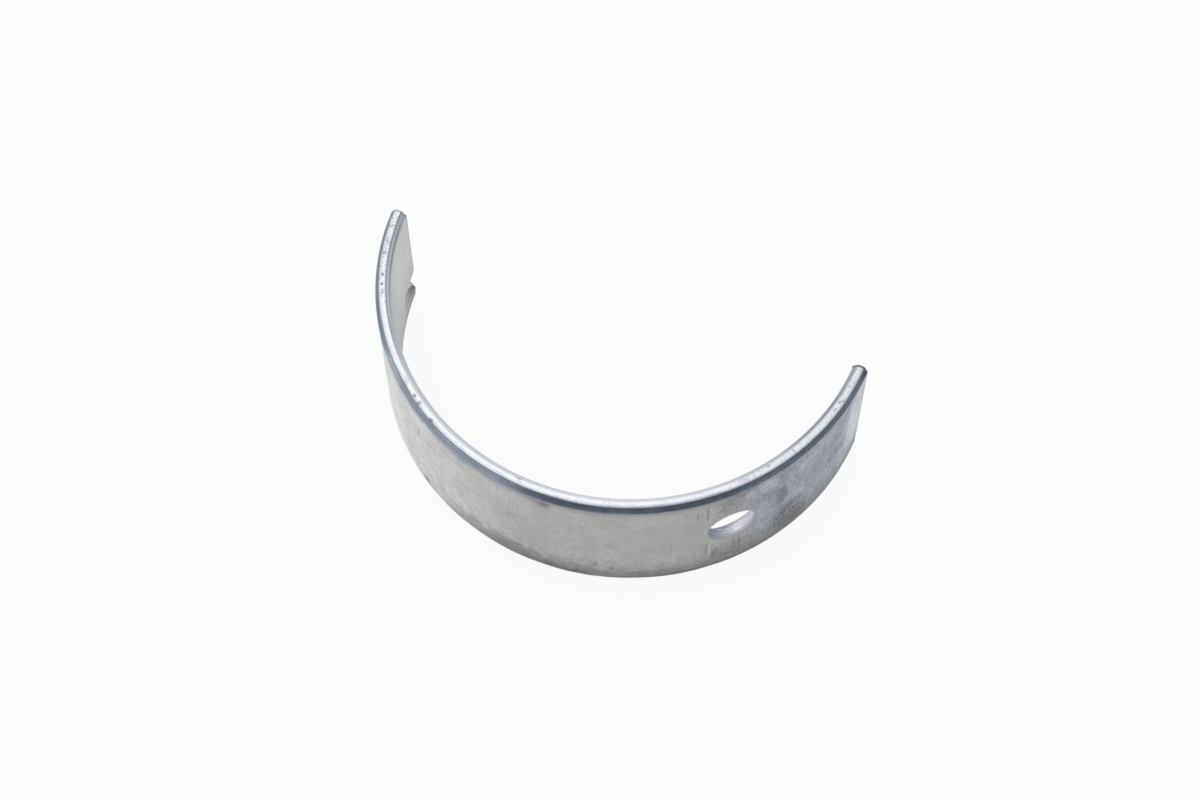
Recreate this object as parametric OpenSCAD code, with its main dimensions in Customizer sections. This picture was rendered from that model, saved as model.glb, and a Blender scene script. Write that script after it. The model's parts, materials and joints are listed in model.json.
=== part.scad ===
// Half shell of a plain engine bearing, loose and lying on one of its edge faces.
// The journal's axis is +Z, the middle of the arc points along -Y, and the origin lies
// on the arc's own axis at mid-width. Sizes are in millimetres and angles in degrees.

/* [Seat] */
// Bore of the housing that a pair of shells is clamped in
seat_d = 60; // [48:0.5:90]
// Angle that the loose shell spans; clamped in its seat it closes to a half circle
free_span = 175.5; // [172:0.1:179]

/* [Section] */
// Wall from the running face to the back
wall = 1.95; // [1.6:0.05:3]
// Width along the journal
width = 20.7; // [16:0.1:30]
// Radial size of the chamfer from an edge face to the back
back_chamfer = 0.5; // [0.2:0.05:0.7]
// Axial size of the chamfer from an edge face to the back
back_chamfer_rise = 0.8; // [0.3:0.05:1.5]
// Radial size of the chamfer from an edge face to the running face
bore_chamfer = 0.7; // [0.2:0.05:0.8]
// Axial size of the chamfer from an edge face to the running face
bore_chamfer_rise = 0.8; // [0.3:0.05:1.5]
// Broken edge around the parting faces
parting_break = 0.2; // [0.1:0.05:0.4]

/* [Oil hole] */
// Diameter of the oil hole
hole_d = 6; // [3:0.1:8]
// Angle from the middle of the arc to the hole, towards the plain end
hole_angle = 44.2; // [20:0.1:65]
// Height of the hole's axis above mid-width
hole_rise = 0.65; // [-2:0.05:2]
// Broken edge of the hole on the back
hole_back_break = 0.15; // [0.05:0.05:0.3]
// Depth of the hole's countersink in the running face
sink_depth = 0.6; // [0.1:0.05:0.8]
// Angle across the countersink
sink_angle = 120; // [60:5:130]

/* [Locating tang] */
// Height of the tang's middle above the lower edge face
tang_height = 4.2; // [3.5:0.1:8]
// Width of the lug where it leaves the back
tang_width = 4.2; // [3:0.1:6]
// Length of the tang along the running face, from the parting face to its root
tang_length = 4.5; // [3:0.1:7]
// How far the tang is pressed out at the parting face, pocket and lug alike
tang_depth = 1; // [0.5:0.05:1.2]
// Width of the pocket's floor
pocket_width = 2.7; // [1:0.1:4]
// Slope of the pocket's side walls, away from square to the running face
pocket_slope = 30; // [15:1:45]
// Slope of the lug's sides, away from square to the back
lug_slope = 12; // [3:1:30]
// Gap between the lug's end and the plane of the parting face
lug_setback = 0.5; // [0.4:0.05:1]

/* [Hidden] */
$fn = 240;
// How far a cutting shape runs past the surface that it cuts
overrun = 1;
back_r = seat_d / 2 * 180 / free_span;
bore_r = back_r - wall;
hole_r = hole_d / 2;
// Drop of the back's curve across half the hole
hole_sag = back_r - sqrt(back_r * back_r - hole_r * hole_r);
tang_root = tang_length / bore_r * 180 / PI;
tang_swing = atan(tang_depth / tang_length);
lug_start = lug_setback / back_r * 180 / PI;
overrun_angle = overrun / back_r * 180 / PI;

// Puts its children in the tang end's own frame: X along the radius, Y into the arc.
module at_tang_end() {
    rotate([0, 0, -90 - free_span / 2]) children();
}

// Puts its children in the plain end's own frame, the mirror image of the tang end's.
module at_plain_end() {
    mirror([1, 0, 0]) at_tang_end() children();
}

// Half of the wall's section, from mid-width to one edge face.
module half_section() {
    edge = width / 2;
    polygon([
        [bore_r, 0],
        [back_r, 0],
        [back_r, edge - back_chamfer_rise],
        [back_r - back_chamfer, edge],
        [bore_r + bore_chamfer, edge],
        [bore_r, edge - bore_chamfer_rise]
    ]);
}

// The bare arc: the wall's section swept from the tang end to the plain end.
module arc() {
    at_tang_end()
        rotate_extrude(angle = free_span)
            union() {
                half_section();
                mirror([0, 1]) half_section();
            }
}

// Square bars that break the four edges of one parting face.
module parting_breaks() {
    side = parting_break * sqrt(2);
    for (r = [bore_r, back_r])
        translate([r, 0, 0])
            rotate([0, 0, 45])
                cube([side, side, width + 2 * overrun], center = true);
    for (edge = [-width / 2, width / 2])
        translate([(bore_r + back_r) / 2, 0, edge])
            rotate([45, 0, 0])
                cube([wall + 2 * overrun, side, side], center = true);
}

// Round hole through the wall, with its edge broken on the back and countersunk inside.
module oil_hole() {
    sink_height = sink_depth + overrun;
    break_height = hole_sag + hole_back_break + overrun;
    rotate([0, 0, -90 + hole_angle])
        translate([0, 0, hole_rise])
            rotate([0, 90, 0]) {
                translate([0, 0, bore_r - overrun])
                    cylinder(h = wall + 2 * overrun, r = hole_r);
                translate([0, 0, bore_r - overrun])
                    cylinder(h = sink_height, r1 = hole_r + sink_height * tan(sink_angle / 2), r2 = hole_r);
                translate([0, 0, back_r - hole_sag - hole_back_break])
                    cylinder(h = break_height, r1 = hole_r, r2 = hole_r + break_height);
            }
}

// Turns its children outwards about the tang's root, a line along the width at radius r.
module pressed_out(r) {
    rotate([0, 0, tang_root])
        translate([r, 0, 0])
            rotate([0, 0, tang_swing])
                translate([-r, 0, 0])
                    rotate([0, 0, -tang_root]) children();
}

// Bar with sloping sides along the arc, from one angle to another, at the tang's height.
// Its width is given at the face radius, and it widens by the slope towards the other radius.
module tang_bar(face, other, face_width, slope, from, to) {
    other_width = face_width + 2 * abs(face - other) * tan(slope);
    translate([0, 0, tang_height - width / 2])
        rotate([0, 0, from])
            rotate_extrude(angle = to - from)
                polygon([
                    [face, -face_width / 2],
                    [face, face_width / 2],
                    [other, other_width / 2],
                    [other, -other_width / 2]
                ]);
}

// The hollow that the pressed-out tang leaves in the running face.
module tang_pocket() {
    pressed_out(bore_r)
        tang_bar(bore_r, bore_r - 2 * tang_depth, pocket_width, pocket_slope,
                 -overrun_angle, tang_root + overrun_angle);
}

// The lug on the back, whose foot lies half way into the wall behind the pocket.
module tang_lug() {
    crown_width = tang_width - 2 * tang_depth * tan(lug_slope);
    foot = back_r - (wall + tang_depth) / 2;
    pressed_out(back_r)
        tang_bar(back_r, foot, crown_width, lug_slope, lug_start, tang_root + overrun_angle);
}

module bearing_shell() {
    color([0.74, 0.74, 0.75])
        union() {
            difference() {
                arc();
                at_tang_end() parting_breaks();
                at_plain_end() parting_breaks();
                at_tang_end() tang_pocket();
                oil_hole();
            }
            at_tang_end() tang_lug();
        }
}

bearing_shell();
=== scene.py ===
# %% [markdown]
# # Half shell of an engine bearing
# A plain bearing is a pair of thin half shells that hold a turning shaft. This one lies loose on
# one of its edge faces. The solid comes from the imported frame. Here it gets a finer mesh with
# softened edges, and a finish for each of its faces.

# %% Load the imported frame
import json
import math

import bmesh
import bpy
import numpy as np
from mathutils import Matrix, noise


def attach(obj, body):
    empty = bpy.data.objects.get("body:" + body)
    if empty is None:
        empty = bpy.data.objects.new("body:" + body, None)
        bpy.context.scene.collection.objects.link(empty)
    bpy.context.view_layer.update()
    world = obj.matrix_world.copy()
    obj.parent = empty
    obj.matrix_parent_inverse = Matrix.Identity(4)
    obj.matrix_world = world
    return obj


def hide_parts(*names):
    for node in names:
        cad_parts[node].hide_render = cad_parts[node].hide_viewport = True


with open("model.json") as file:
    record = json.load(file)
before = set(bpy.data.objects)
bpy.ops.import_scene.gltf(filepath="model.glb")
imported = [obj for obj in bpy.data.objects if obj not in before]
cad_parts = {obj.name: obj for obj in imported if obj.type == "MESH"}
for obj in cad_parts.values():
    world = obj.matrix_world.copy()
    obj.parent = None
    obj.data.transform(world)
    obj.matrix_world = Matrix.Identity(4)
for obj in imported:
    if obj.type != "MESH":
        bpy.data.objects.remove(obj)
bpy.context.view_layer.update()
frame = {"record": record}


# %% [markdown]
# ## Sizes
# Blender counts in metres, and a shell is easier to think of in millimetres. So the mesh is made
# in millimetres and scaled at the end. The radii, the width, the span and the places of the oil
# hole and the tang are read from the frame's mounts, so that the mesh can't drift off the solid.

# %% Measure the shell
MM = 0.001
mounts = {mount["name"]: mount for mount in frame["record"]["mounts"]}
bore_r = mounts["journal"]["dims"]["r_mm"]
back_r = -mounts["back_seat"]["pos_m"][1] / MM
wall = back_r - bore_r
half_width = mounts["upper_edge_face"]["pos_m"][2] / MM
plain_end_axis = mounts["plain_parting_face"]["axis"]
half_span = math.atan2(plain_end_axis[1], plain_end_axis[0])
arc_length = 2 * half_span * back_r
print(f"wall {wall:.2f} mm, width {2 * half_width:.2f} mm, arc {arc_length:.2f} mm along the back")

# %% [markdown]
# ## The section
# The wall is a strip with a chamfer at each corner. Sharp corners look false in a render, since
# a real edge always catches a thin line of light. A bevel modifier could round them, but it would
# also cut across the rows of the grid. So each corner is a short curve of points of its own, with
# more points where a chamfer rolls over into the flat edge face.

# %% A corner as a short curve
edge_softness, soft_points = 0.07, 3


def softened(before, corner, after, reach=edge_softness, count=soft_points):
    """Points of a short curve that takes a corner round instead of sharp."""
    before, corner, after = (np.array(p, float) for p in (before, corner, after))
    start = corner + (before - corner) * reach / np.linalg.norm(before - corner)
    end = corner + (after - corner) * reach / np.linalg.norm(after - corner)
    return [start * (1 - t) ** 2 + corner * 2 * t * (1 - t) + end * t ** 2
            for t in np.linspace(0, 1, count)]


def stepped(first, last, steps):
    """Points at given shares of the way from the first to the last."""
    return [first + (last - first) * t for t in steps]


# %% Corner points of the section
back_chamfer, back_chamfer_rise = 0.5, 0.8
bore_chamfer, bore_chamfer_rise = 0.7, 0.8
outer_roll, inner_roll, roll_points = 0.13, 0.16, 5
chamfer_steps = (0.25, 0.5, 0.75)


def chamfer_points(face_r, chamfer, rise, inwards, roll):
    """Points from a face's edge, up over its chamfer, to the start of the flat edge face."""
    face_corner = (face_r, half_width - rise)
    edge_corner = (face_r + inwards * chamfer, half_width)
    first = softened((face_r, 0), face_corner, edge_corner)
    last = softened(face_corner, edge_corner, (edge_corner[0] + inwards, half_width), roll, roll_points)
    return np.array(first + stepped(first[-1], last[0], chamfer_steps) + last)


back_corner = chamfer_points(back_r, back_chamfer, back_chamfer_rise, -1, outer_roll)
bore_corner = chamfer_points(bore_r, bore_chamfer, bore_chamfer_rise, 1, inner_roll)
corner_rows = len(back_corner) - 1
print("edge face", round(float(back_corner[-1][0] - bore_corner[-1][0]), 3), "mm between its chamfers")

# %% [markdown]
# ## The locating tang
# A small tab is pressed out of the wall at one end, so that the shell can't turn in its seat.
# It leaves a pocket in the running face and a lug on the back. Both are shallow, so they can be
# made by moving the points of the two faces along the radius. The rows of points follow the
# lips of the pocket and the foot of the lug, which keeps those edges straight and crisp.

# %% Shape of the tang
tang_z = mounts["locating_tang"]["pos_m"][2] / MM
tang_length, tang_depth = 4.5, 1.0
pocket_width, pocket_slope = 2.7, math.radians(30)
tang_width, lug_slope = 4.2, math.radians(12)
lug_setback = 0.5
tang_rise = tang_depth / tang_length
tang_root = tang_length / bore_r
crown_width = tang_width - 2 * tang_depth * math.tan(lug_slope)
lip_spread = tang_depth * math.tan(pocket_slope)


def tang_lift(along, face_r):
    """How far the tang is pressed out at a distance from its parting face, at one radius."""
    return max(0.0, tang_root * face_r - along) * tang_rise


def side_walls(z, lift, floor_width, slope):
    """Part of the lift that is left at a height, on the floor or on a sloping side."""
    past_floor = max(0.0, abs(z - tang_z) - floor_width / 2)
    return max(0.0, lift - past_floor / math.tan(slope))


print(f"pocket {pocket_width + 2 * lip_spread:.2f} mm wide at its mouth")

# %% [markdown]
# ## Rows
# The mesh is a grid. Its rows run along the arc at set heights. They could stand at even steps,
# but then the tang's edges would fall between them. So each face has five bands of rows, from
# edge to pocket, over the pocket's two lips and its floor, and from there to the other edge.

# %% Heights of the rows
face_rows = [4, 5, 12, 5, 24]
thin_lip = 0.05


def row_heights(face_edge, floor_width, spread):
    """Heights of one face's rows from its lower corner to its upper corner."""
    floor = floor_width / 2
    stops = [-face_edge, tang_z - floor - spread, tang_z - floor,
             tang_z + floor, tang_z + floor + spread, face_edge]
    heights = [stops[0]]
    for start, stop, count in zip(stops, stops[1:], face_rows):
        heights += [start + (stop - start) * n / count for n in range(1, count + 1)]
    return np.array(heights)


rows = sum(face_rows) + 2 * corner_rows
print(rows, "rows from one edge face to the other")

# %% [markdown]
# ## Stations
# Stations cross the wall at set places along the arc. They stand close together at the tang and at
# the two ends. At the ends the section shrinks a little from one station to the next, along a
# quarter of a circle, so the parting faces get a rounded rim without a modifier.

# %% Stations at the ends and the tang
end_round, round_steps = 0.09, 6
round_turns = [math.radians(90) * n / round_steps for n in range(round_steps + 1)]
end_stations = [(end_round * (1 - math.cos(t)), end_round * (1 - math.sin(t))) for t in round_turns]
root_along = tang_root * back_r
past_tang, before_lug, lug_face = 7.0, 0.35, 0.03
lug_count, past_count, plain_count = 35, 11, 457
tang_stations = [before_lug, lug_setback - lug_face, lug_setback]
tang_stations += list(np.linspace(lug_setback, root_along, lug_count)[1:])
tang_stations += list(np.linspace(root_along, past_tang, past_count)[1:])
print(len(end_stations), "stations at each end and", len(tang_stations), "at the tang")

# %% All stations
plain_stations = list(np.linspace(past_tang, arc_length - end_round, plain_count)[1:-1])
stations = end_stations + [(along, 0.0) for along in tang_stations + plain_stations]
stations += [(arc_length - along, inset) for along, inset in reversed(end_stations)]
station_angle = np.array([along / back_r - half_span for along, _ in stations])
print(len(stations), "stations from the tang end to the plain end")

# %% [markdown]
# ## Uneven chamfers
# The chamfers of a stamped shell aren't cut evenly: where one meets the back, the line wanders.
# A bump in the material could only shade it. Here two waves of noise move the line itself.

# %% How the chamfer's line wanders
edge_wander = [(0.35, 0.07), (1.6, 0.05)]
wander_seeds = {"upper": 3.0, "lower": 11.0}


def wander(along, seed):
    """Height by which the line between chamfer and back strays at a place along the arc."""
    return sum(size * noise.noise((along * rate, seed, 0.5)) for rate, size in edge_wander)


strays = [wander(along, wander_seeds["upper"]) for along, _ in stations]
print(f"upper chamfer line strays from {min(strays):.3f} to {max(strays):.3f} mm")

# %% [markdown]
# ## Dents
# The edge faces carry small dents from the box they were shipped in, most of them towards the tang
# end. A sculpting brush could press them in by hand. Drawing their places at random with a fixed
# seed is quicker, and gives the same dents on every run.

# %% Places of the dents
dent_count = 150
dent_depth, dent_reach = (0.008, 0.026), (0.10, 0.26)
tang_share, tang_crowding, tang_reach, dent_span = 0.6, 1.5, 45, 93
draw = np.random.default_rng(8)


def dent_places():
    """Places along the arc and across the wall, most of them towards the tang end."""
    near_tang = draw.random(dent_count) < tang_share
    tang_places = draw.random(dent_count) ** tang_crowding * tang_reach
    along = np.where(near_tang, tang_places, draw.random(dent_count) * dent_span)
    land = wall - bore_chamfer - back_chamfer
    across = bore_r + bore_chamfer + draw.random(dent_count) * land
    return np.stack([along, across], axis=1)


dents = {side: (dent_places(), draw.uniform(*dent_depth, dent_count), draw.uniform(*dent_reach, dent_count))
         for side in ("upper", "lower")}


def dent_drop(along, r, side):
    """How deep the dents are at a point of an edge face."""
    places, depths, reaches = dents[side]
    gap = ((places[:, 0] - along) ** 2 + (places[:, 1] - r) ** 2) / reaches ** 2
    return float((depths * np.exp(-gap)).max())


print(2 * dent_count, "dents on the two edge faces")

# %% [markdown]
# ## One loop round the section
# Each station gives one closed loop of points: up the back, over the upper edge face, down the
# running face and back under the lower edge face. Joining the loops of all stations makes the skin.
# A curve with a bevel object would make such a skin too, but its section couldn't change on the way.

# %% One face of a loop
def face_side(corner, rise, floor_width, slope, lift):
    """Radius and height of one face's rows at a station, with its two chamfers."""
    spread = max(thin_lip, lift * math.tan(slope))
    heights = row_heights(half_width - rise - edge_softness, floor_width, spread)
    middle = [(0.0, z) for z in heights]
    return np.array([(r, -z) for r, z in corner[:0:-1]] + middle + [(r, z) for r, z in corner[1:]])


def relaxed_lift(along, lift):
    """The lift that the rows follow; past the tang's root they spread out again."""
    return max(lift, min(tang_depth, (along - root_along) / (past_tang - root_along)))


# %% The back and the running face at a station
corner_bend = np.linspace(1, 0, corner_rows + 1)[:, None] ** 2 * [[0, 1]]
on_faces = slice(corner_rows, rows + 1 - corner_rows)


def back_side(along):
    """Points up the back at a station, with the lug and the wandering chamfer lines."""
    lift = tang_lift(along, back_r)
    back = face_side(back_corner, back_chamfer_rise, crown_width, lug_slope, relaxed_lift(along, lift))
    lug_here = lift if along >= lug_setback else 0.0
    back[on_faces, 0] = [back_r + side_walls(z, lug_here, crown_width, lug_slope) for z in back[on_faces, 1]]
    back[:corner_rows + 1] += corner_bend[::-1] * wander(along, wander_seeds["lower"])
    back[-corner_rows - 1:] += corner_bend * wander(along, wander_seeds["upper"])
    return back


def bore_face(along):
    """Points up the running face at a station, with the tang's pocket."""
    lift = tang_lift(along * bore_r / back_r, bore_r)
    bore = face_side(bore_corner, bore_chamfer_rise, pocket_width, pocket_slope, relaxed_lift(along, lift))
    bore[on_faces, 0] = [bore_r + side_walls(z, lift, pocket_width, pocket_slope) for z in bore[on_faces, 1]]
    return bore


# %% Whole loops
land_steps = 8
land_shares = np.linspace(0, 1, land_steps + 1)[1:-1, None]


def station_loop(along, inset):
    """Closed loop of (radius, height) points round the section at one station."""
    back, bore = back_side(along), bore_face(along)
    upper = back[-1] + (bore[-1] - back[-1]) * land_shares
    lower = bore[0] + (back[0] - bore[0]) * land_shares
    for edge, side, up in ((upper, "upper", 1), (lower, "lower", -1)):
        edge[:, 1] -= [up * dent_drop(along, r, side) for r in edge[:, 0]]
    loop = np.concatenate([back, upper, bore[::-1], lower])
    middle_r = (back_r + bore_r) / 2
    loop[:, 0] = middle_r + (loop[:, 0] - middle_r) * (1 - 2 * inset / wall)
    loop[:, 1] *= 1 - inset / half_width
    return loop


loops = np.array([station_loop(along, inset) for along, inset in stations])
loop_length = loops.shape[1]
print(len(loops), "loops with", loop_length, "points each")

# %% [markdown]
# ## Corners beside the tang
# Pressing the tang drags the wall's end with it: the corners of the pocket's mouth are drawn back
# a little, and so is the short stub of wall below it. A lattice could bend the finished mesh there.
# Turning the points back along the arc before they are joined does it in a few lines.

# %% Corners drawn back by the press
lip_pull, lip_reach = 0.25, 0.6
stub_pull, stub_reach = 0.45, 1.4
pull_length = 3.0
upper_lip, lower_lip = (tang_z + side * (pocket_width / 2 + lip_spread) for side in (1, -1))


def drawn_back(along, r, z):
    """How far the press has drawn the tang end back along the arc at a point of the section."""
    inner = np.clip((back_r - r) / wall, 0, 1)
    lips = sum(np.clip(1 - ((z - lip) / lip_reach) ** 2, 0, 1) ** 2 for lip in (upper_lip, lower_lip))
    stub = np.clip((lower_lip - z) / stub_reach, 0, 1)
    pull = lip_pull * lips * inner + stub_pull * stub ** 2 * (3 - 2 * stub)
    return pull * np.clip(1 - along / pull_length, 0, 1)


# %% Points of the skin
def placed(angle, r, z):
    """A point from its angle off the middle of the arc, its radius and its height."""
    return np.stack(np.broadcast_arrays(r * np.sin(angle), -r * np.cos(angle), z), axis=-1)


station_along = np.array([along for along, _ in stations])[:, None]
pulled = drawn_back(station_along, loops[:, :, 0], loops[:, :, 1])
skin = placed(station_angle[:, None] + pulled / back_r, loops[:, :, 0], loops[:, :, 1])
print(f"tang end drawn back by up to {pulled.max():.2f} mm")

# %% [markdown]
# ## The oil hole
# Oil comes to the shaft through a round hole, countersunk from the running face. A boolean
# modifier could cut it, but that leaves long thin faces that spoil the reflections around it.
# Here a block of the grid is left out on both faces, and rings of points lead from the block's
# border to the rim, through the wall and out to the border on the other face.

# %% Block of the grid that the hole takes up
hole_x, hole_y, hole_z = (v / MM for v in mounts["oil_hole"]["pos_m"])
hole_r = mounts["oil_hole"]["dims"]["r_mm"]
hole_angle = math.atan2(hole_x, -hole_y)
block_half_width = 5.6
below_hole = sum(face_rows[:4])
back_edge = half_width - back_chamfer_rise - edge_softness
block_half_height = hole_z - row_heights(back_edge, pocket_width, lip_spread)[below_hole]
middle_heights = loops[len(loops) // 2, :rows + 1, 1]
lower_row = corner_rows + below_hole
upper_row = int(np.argmin(np.abs(middle_heights - hole_z - block_half_height)))
first_station, last_station = (
    int(np.argmin(np.abs(station_angle - hole_angle - side * block_half_width / back_r)))
    for side in (-1, 1))
print("block of", last_station - first_station, "by", upper_row - lower_row, "quads left out")

# %% Border of the block
border = [(i, lower_row) for i in range(first_station, last_station)]
border += [(last_station, j) for j in range(lower_row, upper_row)]
border += [(i, upper_row) for i in range(last_station, first_station, -1)]
border += [(first_station, j) for j in range(upper_row, lower_row, -1)]
bore_side = 2 * rows + land_steps
border_back = [i * loop_length + j for i, j in border]
border_bore = [i * loop_length + bore_side - j for i, j in border]
print(len(border), "points on the border round the hole")

# %% Cones of the hole
sink_depth, sink_slope = 0.6, math.radians(60)
back_break, break_slope = 0.15, math.radians(45)
hole_sag = back_r - math.sqrt(back_r ** 2 - hole_r ** 2)
break_start = back_r - hole_sag - back_break
sink_end = bore_r + sink_depth
fit_rounds = 40


def on_face(face_r, reach, turn):
    """Reach and depth along the hole's axis of a point that lies on a face."""
    return np.array((reach, math.sqrt(face_r ** 2 - (reach * math.cos(turn)) ** 2)))


def rim_point(face_r, turn, start, slope):
    """Point in which a cone of the hole meets a face, in one direction."""
    reach = hole_r
    for _ in range(fit_rounds):
        reach = hole_r + abs(on_face(face_r, reach, turn)[1] - start) * math.tan(slope)
    return on_face(face_r, reach, turn)


print(f"{break_start - sink_end:.2f} mm of straight wall between the hole's two cones")


# %% Profile of the hole
rim_softness = 0.05
rim_tangent = 1.0
outer_steps = (0.3, 0.55, 0.75, 0.9, 0.97)
wall_steps = (0.2, 0.4, 0.6, 0.8)
lining_steps = (0.1, 0.3, 0.6)


def hole_profile(turn, back_reach, bore_reach):
    """Points from the back's border, through the hole, to the running face's border."""
    back_rim = rim_point(back_r, turn, break_start, break_slope)
    bore_rim = rim_point(bore_r, turn, sink_end, sink_slope)
    break_end, throat = np.array((hole_r, break_start)), np.array((hole_r, sink_end))
    past_back, past_bore = (on_face(r, rim[0] + rim_tangent, turn)
                            for r, rim in ((back_r, back_rim), (bore_r, bore_rim)))
    outer_reaches = stepped(back_reach, back_rim[0] + rim_softness, outer_steps)
    profile = [on_face(back_r, reach, turn) for reach in outer_reaches]
    profile += softened(past_back, back_rim, break_end, rim_softness)
    profile += softened(back_rim, break_end, throat, rim_softness)
    profile += stepped(profile[-1], throat, wall_steps)
    profile += softened(break_end, throat, bore_rim, rim_softness)
    profile += stepped(profile[-1], bore_rim, chamfer_steps)
    profile += softened(throat, bore_rim, past_bore, rim_softness)
    lining_reaches = stepped(bore_rim[0] + rim_softness, bore_reach, lining_steps)
    return np.array(profile + [on_face(bore_r, reach, turn) for reach in lining_reaches])


# %% Rings through the hole
hole_turns, hole_rings = [], []
for i, j in border:
    sideways = math.sin(station_angle[i] - hole_angle)
    up = loops[i, j, 1] - hole_z
    turn = math.atan2(up, back_r * sideways)
    back_reach, bore_reach = (math.hypot(r * sideways, up) for r in (back_r, bore_r))
    hole_turns.append(turn)
    hole_rings.append(hole_profile(turn, back_reach, bore_reach))
hole_rings, hole_turns = np.array(hole_rings), np.array(hole_turns)[:, None]
ring_count = hole_rings.shape[1]
print("hole of", ring_count, "rings")

# %% [markdown]
# ## A countersink off its hole
# On the real shell the countersink was cut in a second step and sits a little to one side of the
# hole. Moving a cutter before a boolean would give that. Here the rings from the throat on are
# shifted sideways, and the ones beside them by a share, so that the grid stays smooth.

# %% Shift the countersink
sink_shift = 0.4
lining_shares = (0.8, 0.5, 0.2)
before_sink = len(outer_steps) + 2 * soft_points
cone_start = before_sink + len(wall_steps) + soft_points
sunk_rings = 2 * soft_points + len(chamfer_steps)
sunk_share = np.array([0.0] * before_sink + list(wall_steps) + [1.0] * sunk_rings + list(lining_shares))
across_axis = hole_rings[:, :, 0] * np.cos(hole_turns)
shifted = across_axis + sink_shift * sunk_share
face_change = np.sqrt(bore_r ** 2 - shifted ** 2) - np.sqrt(bore_r ** 2 - across_axis ** 2)
along_axis = hole_rings[:, :, 1] + (np.arange(ring_count) >= cone_start) * face_change
hole_points = np.stack([
    along_axis * math.sin(hole_angle) + shifted * math.cos(hole_angle),
    -along_axis * math.cos(hole_angle) + shifted * math.sin(hole_angle),
    hole_z + hole_rings[:, :, 0] * np.sin(hole_turns)], axis=-1)
print("countersink", sink_shift, "mm off the hole's axis, from ring", cone_start)

# %% [markdown]
# ## Faces and their finishes
# The back is plated, the edges are turned, the running face is lined. On the real shell these are
# separate steps of making. One mesh can carry them all as material slots, if each quad
# knows the face that it belongs to. So the slots are worked out from the rows, before the quads.

# %% Finish of each part of a loop
finishes = ["plated_back", "turned_chamfer", "bright_edge", "lining_chamfer", "running_face",
            "pressed_tang", "drilled_wall", "parting_face"]
slot_of = {name: n for n, name in enumerate(finishes)}
loop_slots = np.full(loop_length, slot_of["bright_edge"])
face_start, face_stop = corner_rows, rows - corner_rows
rolled = roll_points - 1
loop_slots[rolled:rows - rolled] = slot_of["turned_chamfer"]
loop_slots[face_start:face_stop] = slot_of["plated_back"]
loop_slots[bore_side - rows + rolled:bore_side - rolled] = slot_of["lining_chamfer"]
loop_slots[bore_side - face_stop:bore_side - face_start] = slot_of["running_face"]
pocket_rows = range(bore_side - face_start - below_hole, bore_side - face_start - face_rows[0])
pocket_stations = sum(1 for along, _ in stations if along < root_along)
print(len(finishes), "finishes; the pocket takes", len(pocket_rows), "rows and", pocket_stations, "stations")

# %% Quads of the skin
quads, quad_slots = [], []


def in_block(i, k):
    """Whether a quad of the skin lies in the block that the hole takes up."""
    row = k if k < rows else bore_side - 1 - k
    on_a_face = k < rows or bore_side - rows <= k < bore_side
    return on_a_face and first_station <= i < last_station and lower_row <= row < upper_row


def skin_slot(i, k):
    """Finish of one quad of the skin."""
    if stations[i][1] + stations[i + 1][1] > 0:
        return slot_of["parting_face"]
    if i < pocket_stations and k in pocket_rows:
        return slot_of["pressed_tang"]
    return int(loop_slots[k])


for i in range(len(stations) - 1):
    here, there = i * loop_length, (i + 1) * loop_length
    for k in range(loop_length):
        if not in_block(i, k):
            n = (k + 1) % loop_length
            quads.append((here + k, there + k, there + n, here + n))
            quad_slots.append(skin_slot(i, k))
print(len(quads), "quads of skin")

# %% [markdown]
# ## The parting faces
# A shell ends in two flat faces that meet those of its other half. A single large face would close
# each end, but it would bend where the tang's pocket cuts in. A grid of its own, from the
# back's rows to the running face's rows, follows that outline.

# %% Grids of the parting faces
points = [skin.reshape(-1, 3)]


def end_grid(station, next_point):
    """Points inside one parting face, and its point numbers row by row from back to running face."""
    start, inside, table = station * loop_length, [], []
    for j in range(rows + 1):
        if j == rows:
            inner = [start + rows + c for c in range(1, land_steps)]
        elif j == 0:
            inner = [start + loop_length - c for c in range(1, land_steps)]
        else:
            back_point, bore_point = skin[station, j], skin[station, bore_side - j]
            inner = [next_point + len(inside) + c for c in range(land_steps - 1)]
            inside += list(back_point + (bore_point - back_point) * land_shares)
        table.append([start + j] + inner + [start + bore_side - j])
    return np.array(inside), table


for station, flip in ((0, False), (len(stations) - 1, True)):
    inside, table = end_grid(station, sum(len(group) for group in points))
    points.append(inside)
    for j in range(rows):
        for c in range(land_steps):
            quad = (table[j][c], table[j + 1][c], table[j + 1][c + 1], table[j][c + 1])
            quads.append(quad[::-1] if flip else quad)
            quad_slots.append(slot_of["parting_face"])
print("parting faces of", 2 * rows * land_steps, "quads")

# %% Quads of the hole
ring_start, spokes = sum(len(group) for group in points), len(border)
points.append(hole_points.transpose(1, 0, 2).reshape(-1, 3))
ring_table = [[ring_start + ring * spokes + q for q in range(spokes)] for ring in range(ring_count)]
ring_table = [border_back] + ring_table + [border_bore]
first_wall_ring = len(outer_steps) + soft_points - 1
last_wall_ring = ring_count - len(lining_steps) - 1
for ring, (here, there) in enumerate(zip(ring_table, ring_table[1:])):
    if ring < first_wall_ring:
        kind = "plated_back"
    elif ring > last_wall_ring:
        kind = "running_face"
    else:
        kind = "drilled_wall"
    for q in range(spokes):
        n = (q + 1) % spokes
        quads.append((here[q], here[n], there[n], there[q]))
        quad_slots.append(slot_of[kind])
points = np.concatenate(points) * MM
print(len(points), "points and", len(quads), "quads in all")

# %% [markdown]
# ## The mesh
# The points and quads become one mesh. Its quads are shaded smooth, and edges that turn by more
# than a set angle are marked sharp, so that broad faces stay even and corners stay crisp. A check
# counts open edges: a skin that is closed has none.

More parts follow.
